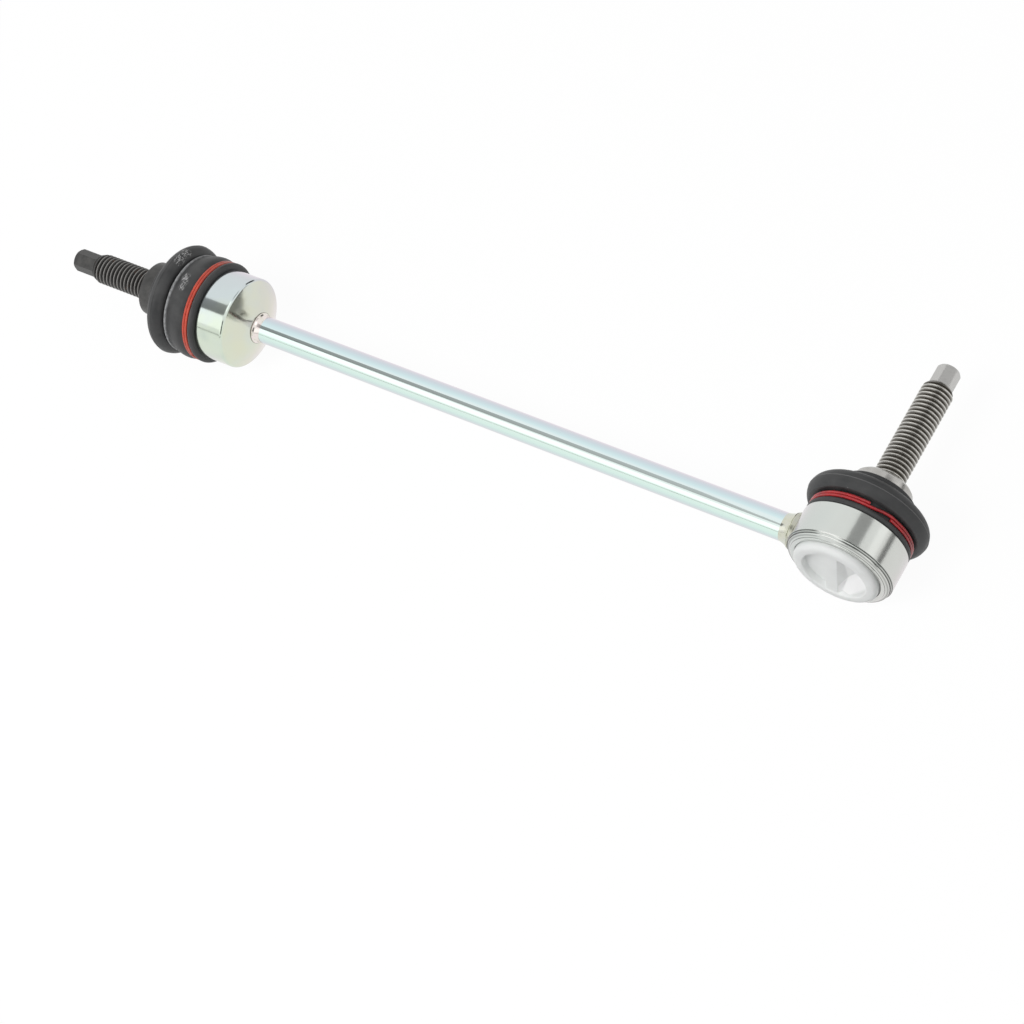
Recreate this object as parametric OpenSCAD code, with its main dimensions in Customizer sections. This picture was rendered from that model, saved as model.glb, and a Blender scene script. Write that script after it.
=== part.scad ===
// Stabilizer link: a plated rod with a sealed ball joint at each end. One ball stud stands in line with
// the rod, the other stands square to it. All sizes are in millimetres.
// The origin is the centre of the square stud's seat face. X runs along the rod towards the square joint,
// Y runs out along the square stud, and Z is up with the link lying flat.

/* [Rod and welds] */
// Distance between the two ball centres, along the rod
ball_spacing = 271; // [200:1:400]
// Diameter of the rod
rod_d = 10.5; // [9:0.1:11]
// How far the weld ring at the cup spreads beyond the rod
inline_weld_spread = 1; // [0.6:0.1:1.5]
// Length of the weld ring at the cup, along the rod
inline_weld_length = 3.2; // [2:0.1:5]
// How far the weld flash at the square housing spreads beyond the rod
radial_weld_spread = 1.8; // [1:0.1:3]
// Length of the weld flash at the square housing, along the rod
radial_weld_length = 4; // [3:0.1:6]

/* [Balls and sockets] */
// Diameter of each ball
ball_d = 18; // [17:0.1:18.6]
// Diameter of each stud's neck, behind the ball
neck_d = 10.5; // [9:0.1:11]
// How far each stud can swing to any side, in degrees
swing = 25; // [15:1:27]
// Spare angle that the openings leave beyond that swing, in degrees
swing_margin = 3.5; // [2:0.5:5]
// Running gap between a ball and its socket
ball_gap = 0.05; // [0.02:0.01:0.1]
// Gap between a socket and the housing that holds it
socket_fit = 0.05; // [0.02:0.01:0.1]

/* [In-line housing] */
// Outside diameter of the cup
cup_d = 36; // [35:0.5:40]
// Thickness of the cup's side
cup_wall = 3.5; // [3:0.1:4]
// Thickness of the cup's floor
cup_floor = 2.8; // [2.5:0.1:6]
// Radius of the rounded edge around the cup's back
cup_edge_r = 0.8; // [0.5:0.1:2]
// Height of the cone on the cup's back, which rises towards the rod
cup_cone_rise = 5; // [3:0.1:7]
// How far the flat end of that cone spreads beyond the rod
cup_cone_spread = 1.2; // [1.1:0.1:2]
// Length of the cup's bare side
cup_side = 12.5; // [12:0.1:14]
// Depth of the boot's seat below the cup's side
cup_seat_depth = 1.4; // [1:0.1:1.6]
// Thickness of plastic under the in-line ball
inline_socket_floor = 2.5; // [2:0.1:3]
// Height of the in-line socket above its ball's centre
inline_grip = 3; // [2:0.1:3.4]
// Thickness of the closing ring on the in-line socket
closing_ring_h = 2; // [1.5:0.1:2.5]
// Thickness of the cup's rim that is rolled over the closing ring
rim_h = 0.9; // [0.6:0.1:1.2]
// How far that rim reaches over the closing ring
rim_reach = 1; // [0.6:0.1:1.5]

/* [Square housing] */
// Outside diameter of the square housing
housing_d = 40; // [39.5:0.5:43]
// Thickness of its side
housing_wall = 3; // [2.5:0.1:3.4]
// Height of its plain side
housing_side = 12.6; // [12:0.1:14]
// Height of the plain side's upper edge above the rod's axis
housing_rise = 6.1; // [5.8:0.1:6.4]
// Height of the square joint's ball centre above the rod's axis
ball_rise = 2.5; // [2:0.1:3]
// Depth of the boot's seat below the plain side
housing_seat_depth = 3; // [2.5:0.1:3.3]
// Thickness of metal between the socket's main bore and the plain side's upper edge
housing_web = 2.1; // [1.5:0.1:2.6]
// Height of the rolled lower lip
roll_h = 2.1; // [1.6:0.1:2.4]
// Thickness of that lip under the socket's shoulder
roll_lip = 1.2; // [0.8:0.1:1.4]
// Width of each fine step down the rolled lip
roll_step = 0.7; // [0.4:0.1:0.9]
// Diameter of the socket's face, which shows through the lip
socket_face_d = 32.2; // [30:0.1:33]
// How far the socket's face stands out of the lip
socket_proud = 2.4; // [1:0.1:3]
// Height of the square socket above its ball's centre
radial_grip = 4.5; // [4:0.1:4.8]
// Diameter of the square socket's upper collar
socket_collar_d = 25; // [22:0.1:28]
// Diameter of the round recess in the socket's face
recess_d = 24.4; // [20:0.1:26]
// Depth of that recess
recess_depth = 2.4; // [1.5:0.1:2.6]
// Width of the rib that crosses the recess
rib_w = 4; // [3:0.1:5]
// How far the rib stays below the socket's face
rib_sink = 0.6; // [0.2:0.1:1]
// Turn of the rib away from the upright, in degrees
rib_turn = 4; // [0:1:44]

/* [Studs] */
// Outside diameter of the threads
thread_d = 12; // [10:0.5:12]
// Pitch of the threads
thread_pitch = 1.75; // [1.25:0.25:1.75]
// Hexagon at each stud's tip, across its flats
hex_af = 8; // [6.5:0.1:8]
// Diameter of the in-line stud's collar
inline_collar_d = 21.4; // [20:0.1:23]
// Distance from the in-line ball's centre to that stud's seat face
inline_seat = 32.2; // [31:0.1:40]
// Length of the in-line stud between its seat face and its hexagon
inline_thread_l = 28.2; // [20:0.1:40]
// Length of the in-line stud's hexagon
inline_hex_l = 10.4; // [6:0.1:14]
// Turn of the in-line stud's hexagon about its axis, in degrees
inline_hex_turn = 0; // [0:1:59]
// Bevel on the in-line collar's edge
inline_collar_bevel = 0.5; // [0.2:0.1:1]
// Diameter of the square stud's collar
radial_collar_d = 21.8; // [20:0.1:23]
// Distance from the square joint's ball centre to its stud's seat face
radial_seat = 27; // [26:0.1:35]
// Length of the square stud between its seat face and its hexagon
radial_thread_l = 43.5; // [30:0.1:60]
// Length of the square stud's hexagon
radial_hex_l = 8.4; // [6:0.1:14]
// Turn of the square stud's hexagon about its axis, in degrees
radial_hex_turn = 21; // [0:1:59]
// Bevel on the square collar's edge
radial_collar_bevel = 1.2; // [0.5:0.1:1.6]

/* [Boots and rings] */
// Thickness of the rubber
boot_wall = 2.2; // [1.8:0.1:2.4]
// Gap between a boot and the metal that it sits on or is clamped by
boot_gap = 0.15; // [0.1:0.01:0.2]
// Diameter of the wire in each clamp ring
wire_d = 1; // [0.8:0.05:1.1]
// Thickness of the in-line boot's foot bead
inline_bead_t = 3.5; // [3.2:0.05:4]
// How far the in-line boot's fold next to its clamp ring stands out beyond the bead
inline_fold_out = 0.35; // [0.2:0.05:1]
// Depth of the waist below that fold
inline_waist_depth = 1.8; // [1.2:0.1:2]
// How far the in-line boot's fold next to its stud stands out beyond the bead
inline_bulge_out = 1.75; // [1.2:0.05:2.5]
// Height of that fold's crest above the ball's centre
inline_bulge_z = 17; // [16.6:0.1:17.6]
// Thickness of the foot bead on the square joint's boot
radial_bead_t = 2.75; // [2.6:0.05:3.4]
// How far that boot's fold stands out beyond the bead
radial_bulge_out = 3.2; // [2.4:0.1:4]
// Height of that fold's crest above the ball's centre
radial_bulge_z = 13; // [12.7:0.1:13.4]
// Height of the ring in each boot's neck
neck_ring_h = 2.4; // [1.5:0.1:2.6]
// Thickness of that ring
neck_ring_t = 1.2; // [0.8:0.1:1.6]
// Running gap between that ring and its stud's collar
neck_ring_gap = 0.05; // [0.02:0.01:0.1]

/* [Hidden] */
$fn = 96;
zinc = [0.82, 0.84, 0.82];
bare_steel = [0.66, 0.66, 0.65];
black_steel = [0.2, 0.2, 0.2];
rubber = [0.16, 0.165, 0.17];
red_wire = [0.76, 0.2, 0.16];
white_plastic = [0.92, 0.92, 0.91];
// Cuts run this far past the faces that they open
past = 1;
// Points on each rounded stretch of a boot's outline
arc_steps = 10;

// Balls, necks and the frame of each joint: local Z runs from the ball's centre out along the stud
ball_r = ball_d / 2;
cavity_r = ball_r + ball_gap;
neck_r = neck_d / 2;
rod_r = rod_d / 2;
rod_y = -radial_seat - ball_rise;
opening_angle = swing + swing_margin;
function opening_r(z) = (neck_r + z * sin(opening_angle)) / cos(opening_angle);

// In-line housing, by height above the ball's centre
cup_r = cup_d / 2;
cup_bore_r = cup_r - cup_wall;
cup_floor_z = -cavity_r - inline_socket_floor;
cup_back_z = cup_floor_z - cup_floor;
cup_shoulder_z = cup_back_z + cup_side;
cup_seat_r = cup_r - cup_seat_depth;
cup_rim_z = inline_grip + closing_ring_h;
cup_mouth_z = cup_rim_z + rim_h;
cup_end_z = cup_back_z - cup_cone_rise;
cup_end_r = rod_r + cup_cone_spread;
cup_cone_angle = atan(cup_cone_rise / (cup_r - cup_end_r));

// Square housing, by height above the ball's centre
housing_r = housing_d / 2;
housing_bore_r = housing_r - housing_wall;
housing_top_z = housing_rise - ball_rise;
housing_web_z = housing_top_z - housing_web;
housing_base_z = housing_top_z - housing_side;
roll_z = housing_base_z - roll_h;
socket_shoulder_z = roll_z + roll_lip;
socket_face_z = roll_z - socket_proud;
socket_face_r = socket_face_d / 2;
socket_edge = 0.5;
housing_seat_r = housing_r - housing_seat_depth;

// Boot feet: a round bead, then the groove for a clamp ring of two touching turns
turn_pitch = 0.9 * wire_d;
bead_h = 2.6;
groove_h = turn_pitch + wire_d + 2 * boot_gap;
inline_bead_r = cup_seat_r + boot_gap + inline_bead_t;
radial_bead_r = housing_seat_r + boot_gap + radial_bead_t;

// The lips that keep the boots on their seats stand this far out and are this high
seat_lip_out = 0.8;
housing_lip_h = 1.4;
cup_lip_z = cup_shoulder_z + bead_h + groove_h;
housing_lip_z = housing_top_z + bead_h + groove_h;
housing_mouth_z = housing_lip_z + housing_lip_h;

// Threads: a standard outline with a flat crest an eighth of the pitch wide and a root a quarter wide
thread_r = thread_d / 2;
thread_depth_ratio = 0.5413;
root_r = thread_r - thread_depth_ratio * thread_pitch;
crest_w = thread_pitch / 8;
root_w = thread_pitch / 4;
flank_w = (thread_pitch - crest_w - root_w) / 2;
hex_corner_r = hex_af / 2 / cos(30);
hex_bevel = 0.6;
hex_bevel_slope = 0.74;
// The shank ends this far outside the hexagon's corners
hex_shoulder = 0.15;
dimple_r = 2;
dimple_ball_r = 2.6;
// The underside of each collar rises this much for each millimetre that it spreads
flare_slope = 0.75;
// The seat face is cut back around the thread, so that a bracket lies flat on it
seat_relief_w = 0.6;
seat_relief_depth = 0.5;

// Gap at the ends of the wire in a clamp ring, in degrees around the ring
wire_end_gap = 24;
inline_wire_turn = 180;
radial_wire_turn = 128;

// The in-line boot's outer fold is this round, as a part of the distance between its two folds
inline_bulge_ratio = 0.36;
// Each boot's fold turns in towards the neck this far past its crest, in degrees
bulge_end = 115;
// Inside the fold, the rubber's bore starts this far before the crest, in degrees
inline_bore_start = -90;
radial_bore_start = -75;
// Boot necks: rubber around a ring that runs on the stud's collar
neck_lip_h = 0.9;
neck_lip_gap = 0.35;
neck_rubber = 1.7;
// Bare collar between a boot's neck and the seat face
inline_collar_show = 7;
radial_collar_show = 4.9;
neck_h = neck_ring_h + 2 * boot_gap + 2 * neck_lip_h;
inline_neck_z = inline_seat - inline_collar_show - neck_h;
radial_neck_z = radial_seat - radial_collar_show - neck_h;

module at_inline() {
  translate([-ball_spacing, rod_y, 0])
    rotate([0, -90, 0])
      children();
}

module at_radial() {
  translate([0, -radial_seat, 0])
    rotate([-90, 0, 0])
      children();
}

// Points of an arc, as [radius, height] about a joint's axis
function arc(centre, r, from, to) = [
  for (i = [0 : arc_steps])
    let (a = from + (to - from) * i / arc_steps)
      centre + r * [cos(a), sin(a)]
];

module tube(outer_r, inner_r, from_z, to_z) {
  translate([0, 0, from_z])
    difference() {
      cylinder(r = outer_r, h = to_z - from_z);
      translate([0, 0, -past])
        cylinder(r = inner_r, h = to_z - from_z + 2 * past);
    }
}

// The opening that a stud's neck swings in, between two heights
module swing_opening(from_z, to_z) {
  rotate_extrude()
    polygon([
      [0, from_z],
      [opening_r(from_z), from_z],
      [opening_r(to_z), to_z],
      [0, to_z]
    ]);
}

// One thread: flat-crested ridges at the pitch, from the seat face to the bevel at the hexagon
module thread(length) {
  ridge_foot = crest_w / 2 + flank_w;
  turns = floor((length - ridge_foot - flank_w * 2) / thread_pitch);
  end_z = turns * thread_pitch + ridge_foot;
  rotate_extrude()
    polygon(concat(
      [[0, -seat_relief_depth - past], [root_r, -seat_relief_depth - past]],
      [
        for (i = [0 : turns])
          each [
            [root_r, i * thread_pitch + flank_w / 2],
            [thread_r, i * thread_pitch + flank_w * 1.5],
            [thread_r, i * thread_pitch + flank_w * 1.5 + crest_w],
            [root_r, i * thread_pitch + flank_w * 2.5 + crest_w]
          ]
      ],
      [[root_r, end_z + flank_w * 2], [hex_corner_r + hex_shoulder, length], [0, length]]
    ));
}

// A hexagon with a bevelled end and a round dimple in its face. Its foot is inside the shank.
module hexagon(length, turn) {
  end_r = hex_af / 2 - hex_bevel;
  far_r = hex_corner_r + past;
  difference() {
    intersection() {
      translate([0, 0, -past])
        rotate([0, 0, turn])
          cylinder(r = hex_corner_r, h = length + past, $fn = 6);
      rotate_extrude()
        polygon([
          [0, -past],
          [far_r, -past],
          [far_r, length - hex_bevel_slope * (far_r - end_r)],
          [end_r, length],
          [0, length]
        ]);
    }
    translate([0, 0, length + sqrt(dimple_ball_r ^ 2 - dimple_r ^ 2)])
      sphere(r = dimple_ball_r);
  }
}

// A forged stud: ball, neck, flare, collar with its seat face, thread and hexagon
module ball_stud(collar_r, seat_z, bevel, neck_z, thread_l, hex_l, hex_turn) {
  flare_z = neck_z + neck_lip_h;
  sphere(r = ball_r);
  difference() {
    rotate_extrude()
      polygon([
        [0, 0],
        [neck_r, 0],
        [neck_r, flare_z - flare_slope * (collar_r - neck_r)],
        [collar_r, flare_z],
        [collar_r, seat_z - bevel],
        [collar_r - bevel, seat_z],
        [0, seat_z]
      ]);
    translate([0, 0, seat_z - seat_relief_depth])
      cylinder(r = thread_r + seat_relief_w, h = seat_relief_depth + past);
  }
  translate([0, 0, seat_z])
    thread(thread_l);
  translate([0, 0, seat_z + thread_l])
    hexagon(hex_l, hex_turn);
}

// A two-turn wire ring around a boot's foot. One turn is open between the wire's two ends.
module clamp_ring(groove_r, from_z, gap_turn) {
  path_r = groove_r + boot_gap + wire_d / 2;
  low_z = from_z + boot_gap + wire_d / 2;
  rotate_extrude()
    translate([path_r, low_z])
      circle(d = wire_d);
  difference() {
    rotate_extrude()
      translate([path_r, low_z + turn_pitch])
        circle(d = wire_d);
    rotate([0, 0, gap_turn])
      translate([0, 0, low_z + turn_pitch - wire_d / 2 - past])
        linear_extrude(wire_d + 2 * past)
          polygon([
            [0, 0],
            2 * path_r * [cos(wire_end_gap / 2), -sin(wire_end_gap / 2)],
            2 * path_r * [cos(wire_end_gap / 2), sin(wire_end_gap / 2)]
          ]);
  }
}

// Outline of a boot's foot, outside: flat end, round bead, then the clamp ring's groove
function foot_outline(seat_r, bead_r, foot_z) = concat(
  [[seat_r + boot_gap, foot_z]],
  arc([bead_r - bead_h / 2, foot_z + bead_h / 2], bead_h / 2, -90, 90),
  [
    [groove_floor_r(bead_r), foot_z + bead_h],
    [groove_floor_r(bead_r), foot_z + bead_h + groove_h]
  ]
);
function groove_floor_r(bead_r) = bead_r - bead_h / 2;

// Outline of a boot's foot, inside: over the lip, then down the seat
function foot_bore(seat_r, lip_top_z, lip_z) = [
  [seat_r + seat_lip_out + boot_gap, lip_top_z + boot_gap],
  [seat_r + seat_lip_out + boot_gap, lip_z - boot_gap],
  [seat_r + boot_gap, lip_z - boot_gap]
];

// Outline of a boot's neck, from its outside to its bore, with the pocket for the neck ring
function neck_outline(collar_r, z) =
  let (
    lip_r = collar_r + neck_lip_gap,
    pocket_r = collar_r + neck_ring_gap + neck_ring_t + boot_gap
  )
  [
    [pocket_r + neck_rubber, z],
    [pocket_r + neck_rubber, z + neck_h - neck_lip_h / 2],
    [pocket_r + neck_rubber - neck_lip_h / 2, z + neck_h],
    [lip_r, z + neck_h],
    [lip_r, z + neck_h - neck_lip_h],
    [pocket_r, z + neck_h - neck_lip_h],
    [pocket_r, z + neck_lip_h],
    [lip_r, z + neck_lip_h],
    [lip_r, z]
  ];

module neck_ring(collar_r, neck_z) {
  bore_r = collar_r + neck_ring_gap;
  low_z = neck_z + neck_lip_h + boot_gap;
  tube(bore_r + neck_ring_t, bore_r, low_z, low_z + neck_ring_h);
}

module rod() {
  color(zinc)
    difference() {
      translate([-ball_spacing - cup_end_z, rod_y, 0])
        rotate([0, 90, 0])
          cylinder(r = rod_r, h = ball_spacing + cup_end_z);
      at_radial()
        translate([0, 0, -housing_d])
          cylinder(r = housing_r, h = 2 * housing_d);
    }
}

// A friction weld's ring: a low bead on the end of the cup's cone that thins out along the rod
module inline_weld() {
  bead_out = rod_r + inline_weld_spread;
  bead_z = inline_weld_length / 4;
  thin_out = rod_r + inline_weld_spread / 4;
  color(zinc)
    at_inline()
      translate([0, 0, cup_end_z])
        mirror([0, 0, 1])
          rotate_extrude()
            polygon([
              [rod_r, 0],
              [bead_out, 0],
              [bead_out, bead_z],
              [thin_out, bead_z * 2],
              [thin_out, bead_z * 3],
              [rod_r, inline_weld_length]
            ]);
}

module inline_housing() {
  color(zinc)
    at_inline()
      difference() {
        rotate_extrude()
          polygon(concat(
            [[0, cup_end_z], [cup_end_r, cup_end_z]],
            arc([cup_r - cup_edge_r, cup_back_z + cup_edge_r], cup_edge_r, cup_cone_angle - 90, 0),
            [
              [cup_r, cup_shoulder_z],
              [cup_seat_r, cup_shoulder_z],
              [cup_seat_r, cup_lip_z],
              [cup_seat_r + seat_lip_out, cup_lip_z],
              [cup_seat_r + seat_lip_out, cup_mouth_z],
              [0, cup_mouth_z]
            ]
          ));
        translate([0, 0, cup_floor_z])
          cylinder(r = cup_bore_r, h = cup_rim_z - cup_floor_z);
        cylinder(r = cup_bore_r - rim_reach, h = cup_mouth_z + past);
      }
}

module inline_socket() {
  color(white_plastic)
    at_inline()
      difference() {
        translate([0, 0, cup_floor_z])
          cylinder(r = cup_bore_r - socket_fit, h = inline_grip - cup_floor_z);
        sphere(r = cavity_r);
        swing_opening(0, inline_grip + past);
      }
}

module inline_closing_ring() {
  color(bare_steel)
    at_inline()
      difference() {
        translate([0, 0, inline_grip])
          cylinder(r = cup_bore_r - socket_fit, h = closing_ring_h);
        sphere(r = cavity_r);
        swing_opening(0, cup_rim_z + past);
      }
}

module inline_clamp_ring() {
  color(red_wire)
    at_inline()
      clamp_ring(groove_floor_r(inline_bead_r), cup_shoulder_z + boot_gap + bead_h, inline_wire_turn);
}

// Two folds with a waist between them, from the foot on the cup to the neck on the collar
module inline_boot() {
  foot_z = cup_shoulder_z + boot_gap;
  fold_r = inline_bead_r + inline_fold_out;
  waist_r = fold_r - inline_waist_depth;
  bulge_r = inline_bead_r + inline_bulge_out;
  // The fold's arc starts half a wire above the groove's floor and ends at the waist
  start_r = groove_floor_r(inline_bead_r) + wire_d / 2;
  start_z = foot_z + bead_h + groove_h;
  fold_span = (inline_bulge_z - start_z) / 4;
  fold_arc_r = (fold_span ^ 2 + (fold_r - start_r) ^ 2) / (2 * (fold_r - start_r));
  fold_centre = [fold_r - fold_arc_r, start_z + fold_span];
  bulge_arc_r = (inline_bulge_z - fold_centre[1]) * inline_bulge_ratio;
  bulge_centre = [bulge_r - bulge_arc_r, inline_bulge_z];
  bulge_in_r = bulge_arc_r - boot_wall;
  waist_z = (fold_centre[1] + bulge_centre[1]) / 2;
  color(rubber)
    at_inline()
      rotate_extrude()
        polygon(concat(
          foot_outline(cup_seat_r, inline_bead_r, foot_z),
          arc(
            fold_centre, fold_arc_r,
            -asin(fold_span / fold_arc_r), acos((waist_r - fold_centre[0]) / fold_arc_r)
          ),
          arc(
            bulge_centre, bulge_arc_r,
            -acos((waist_r - bulge_centre[0]) / bulge_arc_r), bulge_end
          ),
          neck_outline(inline_collar_d / 2, inline_neck_z),
          arc(bulge_centre, bulge_in_r, bulge_end, inline_bore_start),
          [[waist_r - boot_wall, waist_z], [fold_r - boot_wall, fold_centre[1]]],
          foot_bore(cup_seat_r, cup_mouth_z, cup_lip_z)
        ));
}

module inline_neck_ring() {
  color(bare_steel)
    at_inline()
      neck_ring(inline_collar_d / 2, inline_neck_z);
}

module inline_ball_stud() {
  color(black_steel)
    at_inline()
      ball_stud(
        inline_collar_d / 2, inline_seat, inline_collar_bevel, inline_neck_z,
        inline_thread_l, inline_hex_l, inline_hex_turn
      );
}

// Weld flash that fills the corner between the rod and the square housing's side
module radial_weld() {
  flare_r = rod_r + radial_weld_spread;
  reach = housing_r + radial_weld_length;
  color(zinc)
    difference() {
      intersection() {
        translate([0, rod_y, 0])
          rotate([0, -90, 0])
            rotate_extrude()
              polygon([
                [rod_r, 0],
                [flare_r, 0],
                [flare_r, housing_r],
                [rod_r + radial_weld_spread / 3, housing_r + radial_weld_length / 2],
                [rod_r, reach]
              ]);
        at_radial()
          translate([-reach - past, -reach, housing_base_z])
            cube([reach, 2 * reach, housing_side]);
      }
      at_radial()
        translate([0, 0, -housing_d])
          cylinder(r = housing_r, h = 2 * housing_d);
    }
}

module radial_housing() {
  color(zinc)
    at_radial()
      difference() {
        rotate_extrude()
          polygon([
            [0, roll_z],
            [housing_r - 3 * roll_step, roll_z],
            [housing_r - 2 * roll_step, housing_base_z - roll_h / 2],
            [housing_r - roll_step, housing_base_z - roll_h / 2],
            [housing_r - roll_step, housing_base_z],
            [housing_r, housing_base_z],
            [housing_r, housing_top_z],
            [housing_seat_r, housing_top_z],
            [housing_seat_r, housing_lip_z],
            [housing_seat_r + seat_lip_out, housing_lip_z],
            [housing_seat_r + seat_lip_out, housing_mouth_z],
            [0, housing_mouth_z]
          ]);
        translate([0, 0, socket_shoulder_z])
          cylinder(r = housing_bore_r, h = housing_web_z - socket_shoulder_z);
        cylinder(d = socket_collar_d + 2 * socket_fit, h = radial_grip);
        translate([0, 0, roll_z - past])
          cylinder(r = socket_face_r + socket_fit, h = past + roll_lip + past);
        swing_opening(0, housing_mouth_z + past);
      }
}

// One plastic moulding: the ball's seat, a shoulder under the lip, and a face with a ribbed recess
module radial_socket() {
  body_r = housing_bore_r - socket_fit;
  color(white_plastic)
    at_radial() {
      difference() {
        rotate_extrude()
          polygon([
            [0, socket_face_z],
            [socket_face_r - socket_edge, socket_face_z],
            [socket_face_r, socket_face_z + socket_edge],
            [socket_face_r, socket_shoulder_z],
            [body_r, socket_shoulder_z],
            [body_r, housing_web_z],
            [socket_collar_d / 2, housing_web_z],
            [socket_collar_d / 2, radial_grip],
            [0, radial_grip]
          ]);
        sphere(r = cavity_r);
        swing_opening(0, radial_grip + past);
        difference() {
          translate([0, 0, socket_face_z - past])
            cylinder(d = recess_d, h = past + recess_depth);
          rotate([0, 0, rib_turn])
            translate([-rib_w / 2, -recess_d, socket_face_z + rib_sink])
              cube([rib_w, 2 * recess_d, recess_depth]);
        }
      }
    }
}

module radial_clamp_ring() {
  color(red_wire)
    at_radial()
      clamp_ring(groove_floor_r(radial_bead_r), housing_top_z + boot_gap + bead_h, radial_wire_turn);
}

// One round fold, from the foot on the housing to the neck on the collar
module radial_boot() {
  foot_z = housing_top_z + boot_gap;
  start_z = foot_z + bead_h + groove_h;
  start_r = groove_floor_r(radial_bead_r) + wire_d;
  bulge_arc_r = radial_bulge_z - start_z + boot_gap;
  bulge_centre = [radial_bead_r + radial_bulge_out - bulge_arc_r, radial_bulge_z];
  bulge_in_r = bulge_arc_r - boot_wall;
  color(rubber)
    at_radial()
      rotate_extrude()
        polygon(concat(
          foot_outline(housing_seat_r, radial_bead_r, foot_z),
          arc(
            bulge_centre, bulge_arc_r,
            -acos((start_r - bulge_centre[0]) / bulge_arc_r), bulge_end
          ),
          neck_outline(radial_collar_d / 2, radial_neck_z),
          arc(bulge_centre, bulge_in_r, bulge_end, radial_bore_start),
          foot_bore(housing_seat_r, housing_mouth_z, housing_lip_z)
        ));
}

module radial_neck_ring() {
  color(bare_steel)
    at_radial()
      neck_ring(radial_collar_d / 2, radial_neck_z);
}

module radial_ball_stud() {
  color(bare_steel)
    at_radial()
      ball_stud(
        radial_collar_d / 2, radial_seat, radial_collar_bevel, radial_neck_z,
        radial_thread_l, radial_hex_l, radial_hex_turn
      );
}

rod();
inline_weld();
inline_housing();
inline_socket();
inline_closing_ring();
inline_clamp_ring();
inline_boot();
inline_neck_ring();
inline_ball_stud();
radial_weld();
radial_housing();
radial_socket();
radial_clamp_ring();
radial_boot();
radial_neck_ring();
radial_ball_stud();
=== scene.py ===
from math import acos, cos, degrees, pi, radians, sin

import bpy
from mathutils import Matrix, Vector


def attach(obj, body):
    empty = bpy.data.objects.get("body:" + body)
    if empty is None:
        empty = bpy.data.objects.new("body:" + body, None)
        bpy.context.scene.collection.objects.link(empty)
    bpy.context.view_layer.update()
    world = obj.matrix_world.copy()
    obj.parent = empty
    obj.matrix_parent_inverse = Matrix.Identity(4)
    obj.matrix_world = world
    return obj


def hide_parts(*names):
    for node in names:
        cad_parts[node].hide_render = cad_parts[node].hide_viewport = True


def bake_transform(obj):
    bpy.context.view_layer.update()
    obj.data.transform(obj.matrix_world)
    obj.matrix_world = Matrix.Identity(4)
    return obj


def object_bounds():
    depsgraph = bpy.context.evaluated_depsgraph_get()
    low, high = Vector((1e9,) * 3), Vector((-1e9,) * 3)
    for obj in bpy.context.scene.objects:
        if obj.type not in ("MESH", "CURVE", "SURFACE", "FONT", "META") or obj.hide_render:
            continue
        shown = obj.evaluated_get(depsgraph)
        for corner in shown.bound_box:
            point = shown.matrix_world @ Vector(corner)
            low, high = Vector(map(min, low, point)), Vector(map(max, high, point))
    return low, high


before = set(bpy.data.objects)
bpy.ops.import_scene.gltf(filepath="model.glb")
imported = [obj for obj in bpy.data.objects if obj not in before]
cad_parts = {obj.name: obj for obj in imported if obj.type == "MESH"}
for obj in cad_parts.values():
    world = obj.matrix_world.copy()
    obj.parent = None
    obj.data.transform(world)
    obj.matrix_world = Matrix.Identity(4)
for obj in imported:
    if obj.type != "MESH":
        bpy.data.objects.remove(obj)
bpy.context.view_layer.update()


# Rod: a round bar of drawn steel, zinc plated and passivated, which leaves a faint sheen of several
# tints. One end is welded to the back of the in-line cup, the other is coped to fit the side of the
# square housing.
MM = 0.001
UP = Vector((0, 0, 1))
along_rod = Vector((1, 0, 0))
rod_place = Vector((0, -29.5, 0)) * MM
rod_radius = 5.25
rod_start = -251.65
rod_end = -18.0
housing_radius = 20.0
same_point = 0.002 * MM


def start_piece():
    """Leaves edit mode with nothing selected, so that the next tool acts on the new piece alone."""
    if bpy.context.object and bpy.context.object.mode != "OBJECT":
        bpy.ops.object.mode_set(mode="OBJECT")
    bpy.ops.object.select_all(action="DESELECT")


def draw_line(name, points):
    """A new piece that is one line of edges, left in edit mode with all of it selected."""
    start_piece()
    bpy.ops.mesh.primitive_plane_add(size=MM, location=points[0])
    made = bpy.context.object
    made.name = name
    bpy.ops.object.transform_apply(location=True, rotation=True, scale=True)
    bpy.ops.object.mode_set(mode="EDIT")
    bpy.ops.mesh.select_all(action="SELECT")
    bpy.ops.mesh.merge(type="CENTER")
    for here, there in zip(points, points[1:]):
        bpy.ops.mesh.extrude_region_move(TRANSFORM_OT_translate={"value": there - here})
    bpy.ops.mesh.select_all(action="SELECT")
    return made


def turn(name, outline, centre, axis, steps=128, closed=False):
    """Turns a piece as on a lathe: outline is its half section, (radius, height) in mm."""
    points = [centre + (UP * r + axis * h) * MM for r, h in outline]
    if closed:
        points.append(points[0])
    made = draw_line(name, points)
    bpy.ops.mesh.remove_doubles(threshold=same_point)
    bpy.ops.mesh.select_all(action="SELECT")
    bpy.ops.mesh.spin(steps=steps, angle=2 * pi, center=centre, axis=axis)
    bpy.ops.mesh.select_all(action="SELECT")
    bpy.ops.mesh.remove_doubles(threshold=same_point)
    bpy.ops.mesh.normals_make_consistent(inside=False)
    bpy.ops.object.mode_set(mode="OBJECT")
    return made


def use_only(piece):
    """Makes a piece the one that the next tool acts on."""
    start_piece()
    piece.select_set(True)
    bpy.context.view_layer.objects.active = piece


def modify(piece, kind, **settings):
    """Puts one modifier on a piece and applies it."""
    use_only(piece)
    bpy.ops.object.modifier_add(type=kind)
    step = piece.modifiers[-1]
    for key, value in settings.items():
        setattr(step, key, value)
    bpy.ops.object.modifier_apply(modifier=step.name)


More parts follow.
